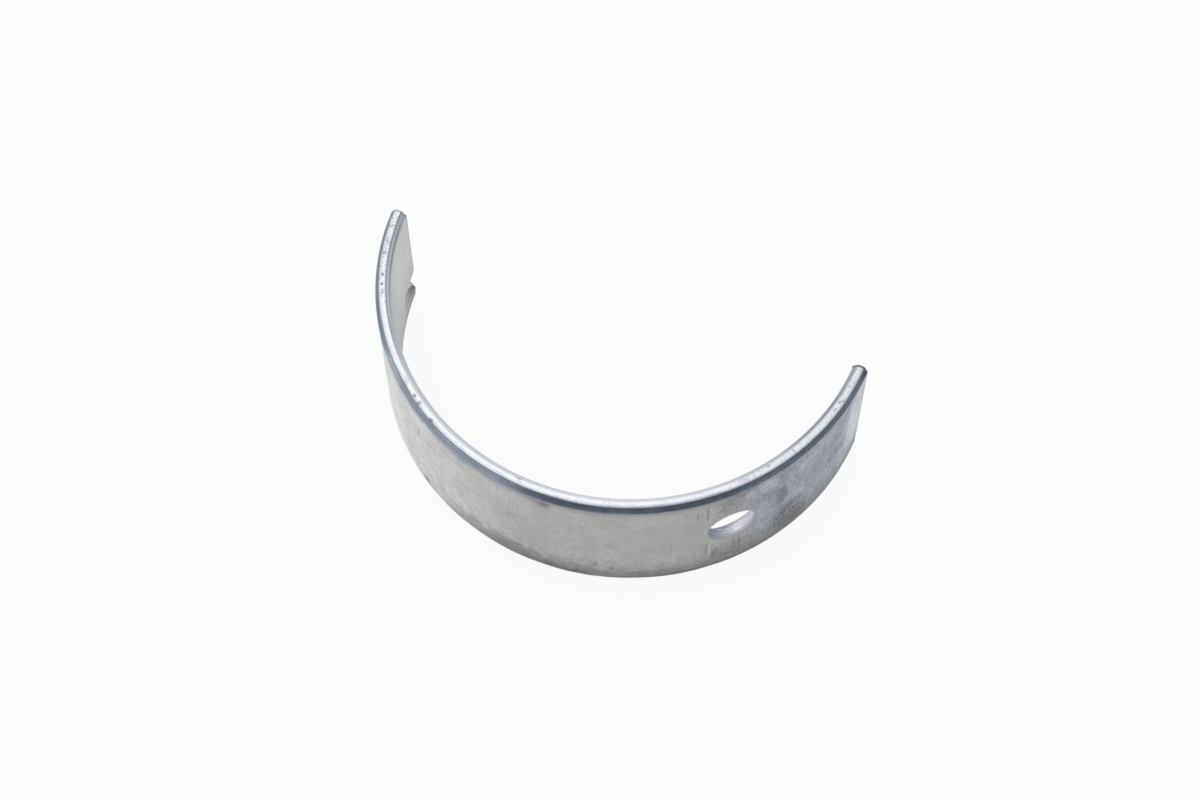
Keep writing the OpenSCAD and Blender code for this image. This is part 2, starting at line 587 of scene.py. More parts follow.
# %% Make the mesh
crease = math.radians(38)
shell_mesh = bpy.data.meshes.new("bearing_shell_skin")
shell_mesh.from_pydata(points.tolist(), [], quads)
shell_mesh.polygons.foreach_set("material_index", quad_slots)
shell = bpy.data.objects.new("bearing_shell_skin", shell_mesh)
bpy.context.scene.collection.objects.link(shell)
skin_bm = bmesh.new()
skin_bm.from_mesh(shell_mesh)
bmesh.ops.recalc_face_normals(skin_bm, faces=skin_bm.faces)
open_edges = sum(1 for edge in skin_bm.edges if not edge.is_manifold)
volume = skin_bm.calc_volume(signed=True) / MM ** 3
skin_bm.to_mesh(shell_mesh)
skin_bm.free()
shell_mesh.polygons.foreach_set("use_smooth", [True] * len(shell_mesh.polygons))
shell_mesh.set_sharp_from_angle(angle=crease)
print(f"open edges {open_edges}, volume {volume:.1f} mm3")

# %% Put the skin in the solid's place
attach(shell, "root")
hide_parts("bearing_shell")
print(shell.name, "stands for the solid")

# %% [markdown]
# ## Sums in a shader
# A finish is a picture that is worked out from the place on the shell. In the node editor that
# takes many Math nodes. This small class lets Python write them: it holds one socket, and
# adding or multiplying it adds the node that does so.

# %% A socket that can be used in sums
class Value:
    """One shader socket; sums written with it become Math nodes of its tree."""

    def __init__(self, tree, socket=None):
        self.tree = tree
        self.socket = socket

    def node(self, kind, settings, sockets, out=0):
        """Adds any node. Its settings come first, then the values or links of its sockets."""
        made = self.tree.nodes.new(kind)
        for name, setting in settings.items():
            setattr(made, name, setting)
        for name, given in sockets.items():
            if isinstance(given, Value):
                self.tree.links.new(given.socket, made.inputs[name])
            else:
                made.inputs[name].default_value = given
        return Value(self.tree, made.outputs[out] if len(made.outputs) else None)

    def sums(self, operation, *terms):
        """Adds a Math node for an operation on values or numbers."""
        return self.node("ShaderNodeMath", {"operation": operation}, dict(enumerate(terms)))

    def __add__(self, other):
        return self.sums("ADD", self, other)

    def __sub__(self, other):
        return self.sums("SUBTRACT", self, other)

    def __rsub__(self, other):
        return self.sums("SUBTRACT", other, self)

    def __mul__(self, other):
        return self.sums("MULTIPLY", self, other)

    def __truediv__(self, other):
        return self.sums("DIVIDE", self, other)

    def __rtruediv__(self, other):
        return self.sums("DIVIDE", other, self)

    __radd__ = __add__
    __rmul__ = __mul__


# %% [markdown]
# ## Where a finish is
# A texture could be laid on with UVs, but a shell has a natural frame of its own: a distance along
# the arc, a height and a radius. All three follow from the object's coordinates. Noise and soft
# steps at those places then give every streak, edge and stain below.

# %% Places and noise
def shell_place(start):
    """Place on the shell in millimetres: along the arc from its middle, height, and radius."""
    coords = start.node("ShaderNodeTexCoord", {}, {}, "Object")
    x, y, z = (start.node("ShaderNodeSeparateXYZ", {}, {0: coords}, axis) * (1 / MM) for axis in "XYZ")
    along = start.sums("ARCTAN2", x, y * -1) * back_r
    radius = start.sums("SQRT", x * x + y * y)
    return along, z, radius


def speckle(along, across, scale, detail=2.0, roughness=0.5):
    """Soft noise at a place; a larger scale gives smaller spots."""
    place = along.node("ShaderNodeCombineXYZ", {}, {"X": along, "Y": across})
    sockets = {"Vector": place, "Scale": scale, "Detail": detail, "Roughness": roughness}
    return along.node("ShaderNodeTexNoise", {}, sockets)


# %% Soft steps and tints
def rising(value, low, high):
    """0 below low, 1 above high, and a soft step between them."""
    sockets = {"Value": value, "From Min": low, "From Max": high}
    return value.node("ShaderNodeMapRange", {"interpolation_type": "SMOOTHSTEP"}, sockets)


def between(value, low, high, soft):
    """1 from low to high, with soft sides."""
    return rising(value, low - soft, low + soft) * (1 - rising(value, high - soft, high + soft))


def tinted(share, first, second):
    """First colour, going over to the second where the share is 1."""
    first, second = (c if isinstance(c, Value) else (*c, 1.0) for c in (first, second))
    return share.node("ShaderNodeMix", {"data_type": "RGBA"}, {0: share, 6: first, 7: second}, 2)


# %% [markdown]
# ## One metal, many finishes
# Every face is bare or plated metal, so all of them share one shader: full metal, with a colour, a
# roughness and a fine bump. Copies of one material could be changed by hand. Here a function
# builds the shader, and each finish only says how its colour, roughness and bump come about.

# %% A metal from a finish
metals = {}


def metal_finish(make, metallic=1.0):
    """Makes the metal whose colour, roughness, bump and bump height one function works out."""
    material = bpy.data.materials.new(make.__name__)
    material.use_nodes = True
    material.node_tree.nodes.clear()
    start = Value(material.node_tree)
    colour, roughness, height, bump_mm = make(start)
    bump = start.node("ShaderNodeBump", {}, {"Strength": 1.0, "Distance": bump_mm * MM, "Height": height})
    sockets = {"Base Color": colour, "Metallic": metallic, "Roughness": roughness, "Normal": bump}
    surface = start.node("ShaderNodeBsdfPrincipled", {}, sockets)
    start.node("ShaderNodeOutputMaterial", {}, {"Surface": surface})
    metals[make.__name__] = material
    print("finish", make.__name__, "of", len(material.node_tree.nodes), "nodes")


# %% [markdown]
# ## Marks of handling
# Smudges, scratches and stains are where hands, racks and the floor have touched the shell.
# They could be painted by hand. Here each is a soft oval at a place along the arc and a height, and
# noise makes its border uneven. Ovals of one colour are joined by their maximum, so that
# one Mix node tints them all.

# %% Helpers for marks and worn ends
end_wear = (0.11, 0.12, 0.145)


def marked(along, z, places, stray=2.2):
    """Share of a mark from ovals given as (along, height, half length, half height, share); some lists hold
    painted shade.
    """
    stray_along = along + (speckle(along, z, 1.1, 4.0, 0.6) - 0.5) * stray
    stray_z = z + (speckle(along + 40.0, z, 0.9, 4.0, 0.6) - 0.5) * stray
    total = None
    for at, height, length, rise, share in places:
        aside, up = (stray_along - at) / length, (stray_z - height) / rise
        oval = (1 - rising(aside * aside + up * up, 0.15, 1.4)) * share
        total = oval if total is None else oval.sums("MAXIMUM", total, oval)
    return total


def worn_ends(along, colour):
    """The colour, with the last hair's breadth before each parting face worn dark."""
    plain_end = rising(along, 46.65, 46.9) * 0.85
    tang_end = rising(along * -1, 46.75, 47.0) * 0.5
    return tinted(plain_end + tang_end, colour, end_wear)


# %% [markdown]
# ## The plated back
# The steel back has a thin flash of tin: a soft grey with cloudy patches and faint upright streaks
# from rolling. It is lighter towards the tang end, where painted light stands for the brighter floor
# that the back reflects there. One picture would hold all of it at once. Layers are easier to steer:
# each step below takes the colour so far and tints it with one kind of mark, painted shade among them.

# %% Noise that the back's layers share
class BackPlace:
    """Place on the back, with the noise and the zones that several layers use."""

    def __init__(self, start):
        along, z, radius = shell_place(start)
        self.along, self.z, self.radius = along, z, radius
        self.cloud = speckle(along, z, 0.22, 3.0)
        self.grain = speckle(along * 3.0, z * 1.2, 1.0, 3.0, 0.65)
        self.mottle = speckle(along * 0.7, z * 0.55, 1.0, 5.0, 0.65)
        self.grit = rising(self.grain, 0.32, 0.68)
        self.blotches = rising(self.mottle, 0.36, 0.62)
        self.dragged = rising(speckle(along * 0.35, z * 1.3, 1.0, 4.0, 0.7), 0.43, 0.57)
        scuffs = speckle(along * 1.5 + z * 0.45, z * 0.7 - along * 0.25, 1.0, 5.0, 0.75)
        self.scuffs = rising(scuffs, 0.46, 0.57)
        self.worn = rising(along + (self.mottle - 0.5) * 14.0, 14.0, 27.0)
        self.handled = rising(along + (self.mottle - 0.5) * 10.0, 21.0, 31.0)


# %% Tin, from painted light at the tang end to handled
dull_tin, painted_light_tin, cloud_grey = (0.475, 0.47, 0.457), (0.87, 0.87, 0.865), (0.385, 0.385, 0.385)
worn_tin = (0.345, 0.345, 0.343)
cool_blue, cool_violet = (0.315, 0.385, 0.485), (0.362, 0.376, 0.472)
blotch_blue, stroke_blue, blotch_grey = (0.155, 0.178, 0.228), (0.165, 0.185, 0.235), (0.22, 0.22, 0.225)


def bare_tin(back):
    """Tin lightened by painted light at the tang end, going over to worn and then cool, handled tin."""
    along, z = back.along, back.z
    # Painted light: a painted reflection of the brighter floor lightens the tin towards the tang end.
    painted_light_share = 1 - rising(along, -33.0, 7.0)
    colour = tinted(painted_light_share, dull_tin, painted_light_tin)
    colour = tinted(rising(back.cloud, 0.35, 0.65) * 0.28, colour, cloud_grey)
    colour = tinted(back.worn * 0.9, colour, worn_tin)
    hue = speckle(along + 70.0, z, 0.4, 3.0)
    cool = tinted(rising(hue, 0.38, 0.62), cool_blue, cool_violet)
    colour = tinted(back.handled * 0.9, colour, cool)
    colour = tinted((1 - back.blotches) * back.handled * 0.5, colour, blotch_blue)
    strokes = speckle(along * 1.6 + z * 0.5, z * 0.45 - along * 0.2, 1.0, 4.0, 0.7)
    colour = tinted(rising(strokes, 0.50, 0.66) * back.handled * 0.42, colour, stroke_blue)
    return tinted((1 - back.blotches) * 0.18, colour, blotch_grey)


# %% [markdown]
# ### Films and smudges
# Past the oil hole the back has been handled more. Grey films lie where it was wiped, dark
# smudges where fingers held it, and pale rubs where it slid. One oval among the smudges, under the
# upper edge near 25 mm along, is painted shade. Their places are lists of ovals, which can be changed
# one by one while the picture is looked at.

# %% Places of films, smudges and rubs
grey_films = [
    (-3.2, -7.6, 4.4, 1.7, 1.0), (3.0, -8.0, 5.0, 1.4, 0.8), (14.0, -8.8, 9.0, 1.6, 0.9),
    (27.2, -6.8, 2.6, 2.8, 0.9), (23.2, -6.8, 2.6, 2.8, 0.8), (23.4, 7.0, 1.9, 2.6, 0.7),
    (-10.0, -8.6, 4.0, 1.0, 0.5), (20.2, -5.0, 1.0, 4.0, 0.4), (28.5, 2.0, 2.0, 4.0, 0.35),
    (-2.5, -1.0, 5.0, 5.0, 0.2), (13.5, 0.0, 5.0, 6.0, 0.17), (23.6, -5.6, 3.4, 2.6, 0.6),
    (31.0, -8.2, 9.0, 2.4, 0.95), (18.0, 0.0, 3.0, 7.0, 0.15), (24.0, -7.6, 5.0, 2.4, 0.8),
]
smudges_and_edge_shade = [
    # The oval at 24.9 mm along and 9.5 mm high is painted shade under the upper edge; the rest are smudges.
    (0.4, 8.3, 1.5, 1.2, 0.35), (-6.7, 9.0, 0.8, 0.4, 0.45), (24.9, 9.5, 2.4, 1.3, 0.75),
    (-10.4, 9.0, 0.6, 0.4, 0.4), (23.6, 8.4, 1.2, 1.8, 0.35), (22.4, 6.5, 0.5, 2.2, 0.35),
    (28.8, 5.0, 2.0, 1.8, 0.45), (30.4, 7.6, 2.0, 2.4, 0.35), (35.4, 4.4, 1.8, 1.8, 0.25),
    (30.6, 2.2, 1.1, 2.4, 0.45), (40.8, -0.3, 3.0, 1.3, 0.7), (40.2, 4.0, 1.5, 1.8, 0.5),
    (37.5, -5.5, 1.2, 1.6, 0.45), (36.4, 1.6, 1.2, 2.0, 0.35), (33.5, 3.0, 0.9, 1.6, 0.35),
    (30.2, -0.8, 0.9, 1.0, 0.4), (43.0, 1.6, 1.0, 1.4, 0.35),
]
pale_rubs = [
    (28.4, 7.4, 1.6, 1.8, 0.3), (25.8, 7.6, 0.8, 1.1, 0.3), (43.4, -5.5, 2.0, 3.2, 0.3),
    (46.0, 2.0, 4.2, 10.0, 0.85), (27.8, 0.6, 0.8, 2.6, 0.3), (34.6, 6.0, 1.8, 2.2, 0.25),
    (33.4, -0.6, 1.0, 1.4, 0.3), (38.2, 7.6, 1.6, 1.2, 0.25),
]
print(len(grey_films), "films,", len(smudges_and_edge_shade), "smudges and", len(pale_rubs), "rubs")

# %% Handled tin
film_grey, smudge_and_shade_blue, scuff_blue = (0.188, 0.185, 0.180), (0.105, 0.115, 0.15), (0.15, 0.17, 0.22)
fleck_dark, fleck_light, rub_pale = (0.15, 0.155, 0.175), (0.58, 0.60, 0.65), (0.68, 0.70, 0.765)


def handled_tin(back, colour):
    """The colour with films, smudges, one oval of painted shade, scuffs, flecks and rubs."""
    along, z = back.along, back.z
    film_share = 0.30 + back.blotches * 0.1 + back.grit * 0.28 + back.dragged * 0.28
    colour = tinted(marked(along, z, grey_films, 5.0) * film_share, colour, film_grey)
    smudges = marked(along, z, smudges_and_edge_shade, 3.0) * (0.42 + back.scuffs * 0.75)
    colour = tinted(smudges, colour, smudge_and_shade_blue)
    colour = tinted(back.scuffs * back.handled * 0.25, colour, scuff_blue)
    flecks = speckle(along * 2.6, z * 1.0, 1.0, 4.0, 0.75)
    colour = tinted(rising(flecks, 0.53, 0.61) * back.worn * 0.42, colour, fleck_dark)
    colour = tinted((1 - rising(flecks, 0.39, 0.47)) * back.worn * 0.3, colour, fleck_light)
    rubbed = marked(along, z, pale_rubs) * (0.55 + back.blotches * 0.45)
    return tinted(rubbed, colour, rub_pale)


# %% [markdown]
# ### Painted shade, dirt and stains
# Along its lower edge the back reflects the floor's contact shadow, so painted shade darkens it
# there. Brown specks lie there too, and one dark stain lies right of the hole. A gradient from the
# height gives the painted shade, with noise added to the height so that its border isn't straight.
# Ovals give the specks and the stain.

# %% Places of dirt and stains
brown_specks = [
    (-18.1, -8.6, 1.0, 0.8, 1.0), (-10.5, -6.6, 3.2, 0.45, 0.45), (1.6, -8.9, 1.6, 0.7, 1.0),
    (4.6, -9.0, 2.4, 0.6, 0.95), (0.9, -7.8, 0.3, 0.5, 0.7), (7.0, -5.6, 0.3, 0.4, 0.6),
    (9.2, -6.8, 0.25, 0.35, 0.8), (8.6, 0.0, 0.3, 0.6, 0.25), (33.6, -7.2, 1.6, 1.9, 0.6),
    (24.0, -9.3, 16.0, 0.7, 0.8), (-2.8, -9.2, 5.0, 0.5, 0.6), (21.7, -5.6, 0.45, 2.0, 0.6),
    (24.2, -5.5, 0.4, 2.0, 0.5), (25.0, -6.2, 0.25, 2.2, 0.5), (23.2, -7.3, 1.6, 0.9, 0.4),
    (0.9, 8.6, 0.8, 0.7, 0.8), (-0.8, 8.9, 0.6, 0.4, 0.5), (-7.0, -8.8, 3.4, 0.28, 0.7),
    (-4.4, -8.1, 2.4, 0.22, 0.5), (-9.6, -7.7, 2.6, 0.2, 0.4), (-1.6, -8.6, 2.0, 0.25, 0.5),
]
dark_stain = [(31.8, -5.0, 2.6, 4.2, 1.0), (33.4, -6.4, 2.2, 3.0, 0.95), (30.6, 1.8, 1.0, 2.8, 0.6)]
print(len(brown_specks), "specks and a stain of", len(dark_stain), "ovals")

# %% Painted shade and dirt on the tin
lower_edge_shade_grey, low_right_shade_grey = (0.15, 0.146, 0.148), (0.085, 0.080, 0.078)
speck_brown, stain_black = (0.085, 0.076, 0.070), (0.038, 0.036, 0.037)


def shaded_dirty_tin(back, colour):
    """The colour with painted shade along the lower edge, specks and the stain."""
    along, z = back.along, back.z
    # Painted shade: darker towards the lower edge, where the back reflects the floor's contact shadow.
    lower_edge_shade = (1 - rising(z + (back.mottle - 0.5) * 5.0, -10.6, -3.4)) * rising(along, -24.0, 0.0)
    colour = tinted(lower_edge_shade * (0.66 + back.dragged * 0.34), colour, lower_edge_shade_grey)
    # More of the same painted shade low down towards the plain end.
    low_right_shade = (1 - rising(z + (back.mottle - 0.5) * 3.0, -9.8, -6.4)) * rising(along, 15.0, 23.0)
    colour = tinted(low_right_shade * (0.30 + back.scuffs * 0.25), colour, low_right_shade_grey)
    specks = marked(along, z, brown_specks) * (0.5 + back.grit * 0.5)
    colour = tinted(specks, colour, speck_brown)
    dabs = rising(speckle(along * 2.0, z * 0.95, 1.0, 5.0, 0.78), 0.46, 0.55)
    stain = marked(along, z, dark_stain, 3.2) * (0.40 + dabs * 0.60)
    return tinted(stain, colour, stain_black)


# %% [markdown]
# ### Scratches and edges
# A few upright scratches cross the back. Along its upper edge the cut of the chamfer has taken
# some tin with it, which leaves a ragged blue border. Both are thin, so their ovals hardly stray and
# their steps are short.

# %% Scratched and cut tin
dark_scratches = [
    (-18.4, 4.3, 0.18, 1.6, 0.6), (20.6, -3.8, 0.15, 1.9, 0.5), (24.9, -4.6, 0.16, 1.9, 0.6),
    (20.5, 6.4, 0.2, 2.4, 0.45), (19.3, 6.3, 0.2, 1.0, 0.45), (16.2, -2.0, 0.12, 3.0, 0.15),
]
bright_scratches = [(21.05, -4.5, 0.17, 2.3, 0.3), (41.6, -2.3, 0.3, 0.6, 0.6)]
scratch_stray = 0.15
scratch_dark, scratch_bright = (0.10, 0.10, 0.11), (0.72, 0.72, 0.72)
cut_blue, shade_blue = (0.265, 0.315, 0.38), (0.19, 0.215, 0.265)


def scratched_tin(back, colour):
    """The colour with scratches, and with the cut border and the shade under the upper edge."""
    along, z, mottle = back.along, back.z, back.mottle
    colour = tinted(marked(along, z, dark_scratches, scratch_stray), colour, scratch_dark)
    colour = tinted(marked(along, z, bright_scratches, scratch_stray), colour, scratch_bright)
    ripple = speckle(along * 1.3, z * 0.3, 1.0, 3.0, 0.6)
    cut_line = z + (mottle - 0.5) * 1.6 + (ripple - 0.5) * 1.6
    cut = rising(cut_line, 8.75, 9.2) * 0.5 + rising(cut_line, 7.7, 9.5) * 0.4
    cut_reach = (1 - rising(along, -8.0, 4.0)) * (0.5 + rising(along, -30.0, -19.0) * 0.5)
    colour = tinted(cut * cut_reach, colour, cut_blue)
    shade = rising(z + (mottle - 0.5) * 2.0, 7.9, 9.6) * between(along, -4.0, 27.0, 4.0)
    return tinted(shade * 0.62, colour, shade_blue)


# %% [markdown]
# ### The lug
# The lug of the tang is the only part of the back that stands proud. Its crown is rubbed
# dull and its flanks hold dirt, which makes it easy to see. The radius tells the crown from the back,
# and the height tells the flanks.

# %% Tin on the lug
flank_grey, crown_grey = (0.15, 0.155, 0.165), (0.46, 0.46, 0.47)


def lug_tin(back, colour):
    """The colour with the lug's dirty flanks and dull crown."""
    along = back.along
    aside = along.sums("ABSOLUTE", back.z - tang_z)
    flank = between(aside, crown_width / 2 + 0.05, tang_width / 2 + 0.1, 0.12)
    lug_reach = rising(along, -46.75, -46.6) * (1 - rising(along, -45.5, -42.6))
    colour = tinted(flank * lug_reach * 0.75, colour, flank_grey)
    crown = rising(back.radius + (back.grain - 0.5) * 0.3, back_r + 0.10, back_r + 0.55)
    return tinted(crown * 0.55, colour, crown_grey)


# %% Finish of the back
streak_grey = (0.19, 0.19, 0.20)


def plated_back(start):
    """All layers of the tin, one over the other, with fine upright streaks."""
    back = BackPlace(start)
    colour = bare_tin(back)
    for layer in (handled_tin, shaded_dirty_tin, scratched_tin):
        colour = layer(back, colour)
    streaks = speckle(back.along * 1.1, back.z * 0.11, 1.0, 3.0, 0.55)
    fine = rising(streaks * 0.25 + back.grain * 0.75, 0.36, 0.64)
    colour = tinted((1 - fine) * 0.26, colour, streak_grey)
    colour = worn_ends(back.along, lug_tin(back, colour))
    roughness = 0.34 + back.cloud * 0.10 + back.grain * 0.06
    return colour, roughness, back.grain * 0.7 + streaks * 0.3, 0.02


metal_finish(plated_back)

# %% [markdown]
# ## The flat edge faces
# They are turned bright and then knocked about: small dark nicks, most of them at the tang end, and a
# ragged side where they roll over into the outer chamfer, darkened there by a painted reflection of
# the dark front. At the tang end a painted reflection of the dark horizon runs as a thin line along
# their inner side. A plain glossy metal would look new, so the radius and the place along the arc
# steer where it is darker.

# %% Places of the nicks
edge_nicks = [
    (-20.0, 29.95, 0.30, 0.22, 0.7), (-18.8, 30.0, 0.30, 0.22, 0.6), (-16.1, 30.1, 0.35, 0.25, 0.7),
    (-36.3, 29.9, 0.35, 0.20, 0.75), (-35.2, 29.9, 0.4, 0.25, 0.45), (-37.6, 29.9, 0.25, 0.20, 0.7),
    (-40.8, 29.9, 0.3, 0.25, 0.6), (-42.6, 29.9, 0.7, 0.25, 0.35), (-44.7, 29.9, 0.25, 0.3, 0.55),
    (-22.4, 29.9, 0.8, 0.3, 0.25), (-2.7, 29.6, 0.5, 0.25, 0.4), (25.4, 29.9, 0.7, 0.3, 0.28),
    (28.8, 29.65, 0.35, 0.2, 0.5), (40.1, 29.85, 0.32, 0.18, 0.5), (41.3, 29.8, 0.25, 0.2, 0.5),
    (41.7, 30.0, 0.25, 0.2, 0.5), (43.9, 29.8, 0.3, 0.2, 0.3),
]
print(len(edge_nicks), "nicks along the upper edge face")

# %% Colours of the flat edge faces
turned_pale, turned_grey, turned_blue = (0.78, 0.80, 0.85), (0.68, 0.70, 0.765), (0.68, 0.70, 0.775)
tang_pale, inner_pale = (0.88, 0.895, 0.94), (0.90, 0.91, 0.945)
roll_reflection_grey, roll_reflection_blue, front_roll_reflection = (0.36, 0.39, 0.44), (0.22, 0.255, 0.31), (0.22, 0.25, 0.31)
pit_grey, nick_dark, tick_brown = (0.22, 0.23, 0.28), (0.14, 0.15, 0.185), (0.25, 0.20, 0.20)
horizon_line_dark = (0.23, 0.24, 0.32)


# %% Finish of the flat edge faces
def bright_edge(start):
    """Turned metal, pale inside, ragged outside with a painted reflection of the dark front, with pits,
    nicks and a painted horizon line inside.
    """
    along, _, radius = shell_place(start)
    spots = speckle(along * 4.6, radius * 6.5, 1.0, 3.0, 0.6)
    patches = speckle(along * 0.5, radius, 1.0, 2.0)
    tang_side = 1 - rising(along, -37.0, -31.0)
    plain_side = rising(along, 20.0, 28.0)
    colour = tinted(patches * 0.6, turned_pale, turned_grey)
    colour = tinted(plain_side * 0.7, colour, turned_blue)
    colour = tinted(tang_side * 0.45, colour, tang_pale)
    inner_side = 1 - rising(radius, bore_r + bore_chamfer, bore_r + bore_chamfer + 0.2)
    colour = tinted(inner_side * between(along, -28.0, 24.0, 4.0) * 0.8, colour, inner_pale)
    ragged = radius + (patches - 0.5) * 0.25 + (spots - 0.5) * 0.3
    # Painted reflection of the dark front where the edge face rolls over into the outer chamfer; its ragged
    # border follows the uneven cut.
    outer_side = rising(ragged - plain_side * 0.12, 29.78, 30.30) * (0.6 - tang_side * 0.2)
    colour = tinted(outer_side, colour, roll_reflection_grey)
    wide = between(along, -20.0, -2.0, 4.0) * 0.08 + between(along, 29.5, 36.5, 3.0) * 0.07
    rolled_side = rising(ragged - wide, 30.10, 30.26) * between(along, -26.0, 4.0, 4.0)
    colour = tinted(rolled_side * 0.8, colour, roll_reflection_blue)
    front_side = between(along, 9.0, 25.0, 4.0) + rising(along, 40.0, 44.0)
    colour = tinted(rising(ragged, 29.98, 30.26) * front_side * 0.5, colour, front_roll_reflection)
    pits = rising(spots + patches * 0.2 + tang_side * 0.11 + plain_side * 0.03, 0.69, 0.77)
    colour = tinted(pits * (0.65 - tang_side * 0.05), colour, pit_grey)
    colour = tinted(marked(along, radius, edge_nicks, 0.7), colour, nick_dark)
    colour = tinted(between(along, 32.5, 32.65, 0.1) * 0.7, colour, tick_brown)
    across = (radius - bore_r) / bore_chamfer
    # Painted reflection of the dark horizon as a thin line at the inner edge, towards the tang end.
    horizon_line = (1 - rising(across, 0.90, 1.0)) * (1 - rising(along, -30.0, -21.0))
    colour = tinted(horizon_line * 0.9, colour, horizon_line_dark)
    return worn_ends(along, colour), 0.27 + patches * 0.10, spots, 0.02


metal_finish(bright_edge)

# %% [markdown]
# ## The outer chamfers
# They are cut through the plating, so the steel there is darker and bluer than the back. Towards the
# tang end the cut was shallow and some plating is left on them. One dark metal would do from a
# step away. Up close its tone changes along the arc, so each stretch has its own tint.

# %% Colours of the outer chamfers
steel_deep, steel_blue, steel_polished = (0.100, 0.122, 0.162), (0.13, 0.155, 0.20), (0.145, 0.172, 0.22)
steel_glint, half_plated, shallow_cut = (0.19, 0.23, 0.29), (0.205, 0.25, 0.315), (0.30, 0.36, 0.435)
rim_bright, rim_dark = (0.62, 0.66, 0.74), (0.06, 0.075, 0.102)
far_steel, tang_steel, plain_steel = (0.17, 0.187, 0.235), (0.13, 0.145, 0.185), (0.040, 0.052, 0.075)
plating_left, bare_pale = (0.48, 0.53, 0.57), (0.55, 0.575, 0.605)


# %% Finish of the outer chamfers
def turned_chamfer(start):
    """Dark cut steel, with plating left on it towards the tang end."""
    along, _, radius = shell_place(start)
    lines = speckle(along * 0.4, radius * 9.0, 1.0, 3.0, 0.6)
    patches = speckle(along * 0.7, radius * 2.0, 1.0, 3.0, 0.6)
    colour = tinted(rising(patches, 0.35, 0.65), steel_deep, steel_blue)
    polished = between(along, 24.0, 31.0, 3.0) * 0.7 + rising(along, 38.0, 43.0) * 0.4
    colour = tinted(polished, colour, steel_polished)
    colour = tinted(between(along, 8.8, 11.8, 1.2) * 0.3, colour, steel_glint)
    colour = tinted(1 - rising(along, -7.0, 3.0), colour, half_plated)
    half_cut = between(along + (patches - 0.5) * 3.0, -14.0, -3.2, 2.5)
    colour = tinted(half_cut * 0.85, colour, shallow_cut)
    bright_rim = 1 - rising(radius + (patches - 0.5) * 0.12, 30.30, 30.46)
    colour = tinted(bright_rim * between(along, -21.0, -2.0, 4.0) * 0.55, colour, rim_bright)
    dark_rim = 1 - rising(radius + (patches - 0.5) * 0.1, 30.34, 30.48)
    colour = tinted(dark_rim * rising(along, 12.0, 28.0) * 0.55, colour, rim_dark)
    colour = tinted(1 - rising(along, -34.0, -26.0), colour, far_steel)
    colour = tinted((1 - rising(along, -44.0, -38.0)) * 0.6, colour, tang_steel)
    left_on = rising(patches + lines * 0.3, 0.50, 0.70) * between(along, -27.0, -11.0, 3.0)
    colour = tinted(left_on * 0.25, colour, plating_left)
    bare_spot = between(along + (patches - 0.5) * 4.0, -27.0, -23.0, 1.5)
    colour = tinted(bare_spot * 0.5, colour, bare_pale)
    colour = tinted(rising(along, 45.0, 46.6) * 0.8, colour, plain_steel)
    return worn_ends(along, colour), 0.22 + lines * 0.10, lines, 0.01


metal_finish(turned_chamfer)

# %% [markdown]
# ## The inner chamfers
# They are cut in the softer lining. Towards the tang end their rounded edge shows thin stripes: a
# painted reflection of the dark horizon next to the edge face, a painted reflection of the floor
# below it, and a darker stripe nearer the running face. At the plain end a painted reflection of the
# dark horizon lies across the middle. Separate loops of faces could carry the stripes. Since the radius
# runs evenly across the chamfer, steps in the radius draw them at any width.

# %% Stripes at the tang end, with painted reflections
stripe_base_grey, stripe_base_end = (0.47, 0.48, 0.53), (0.52, 0.54, 0.61)
lower_stripe_grey, floor_reflection_pale = (0.35, 0.38, 0.455), (0.66, 0.685, 0.785)
horizon_reflection_dark, horizon_reflection_grey = (0.15, 0.16, 0.225), (0.26, 0.27, 0.34)


def tang_end_stripes(along, across):
    """Stripes as they show towards the tang end: painted reflections of the floor and the dark horizon, and
    a darker stripe.
    """
    near_end = 1 - rising(along, -36.0, -29.0)
    stripes = tinted(near_end, stripe_base_grey, stripe_base_end)
    stripe = between(across, 0.20, 0.44, 0.09) * near_end * rising(along, -46.2, -44.2)
    stripes = tinted(stripe, stripes, lower_stripe_grey)
    # Painted reflection of the floor as a pale stripe.
    pale = between(across, 0.50, 0.74, 0.10) * (0.1 + near_end * 0.9)
    stripes = tinted(pale, stripes, floor_reflection_pale)
    # Painted reflection of the dark horizon next to the edge face.
    horizon_line = tinted(rising(along, -41.5, -37.0), horizon_reflection_dark, horizon_reflection_grey)
    return tinted(rising(across, 0.76, 0.90), stripes, horizon_line)


# %% Finish of the inner chamfers
lining_dark, lining_light, front_pale = (0.49, 0.50, 0.545), (0.57, 0.58, 0.62), (0.67, 0.68, 0.70)
clear_pale, plain_pale = (0.74, 0.76, 0.81), (0.80, 0.805, 0.86)
horizon_band_grey, horizon_band_end = (0.26, 0.265, 0.315), (0.36, 0.36, 0.415)


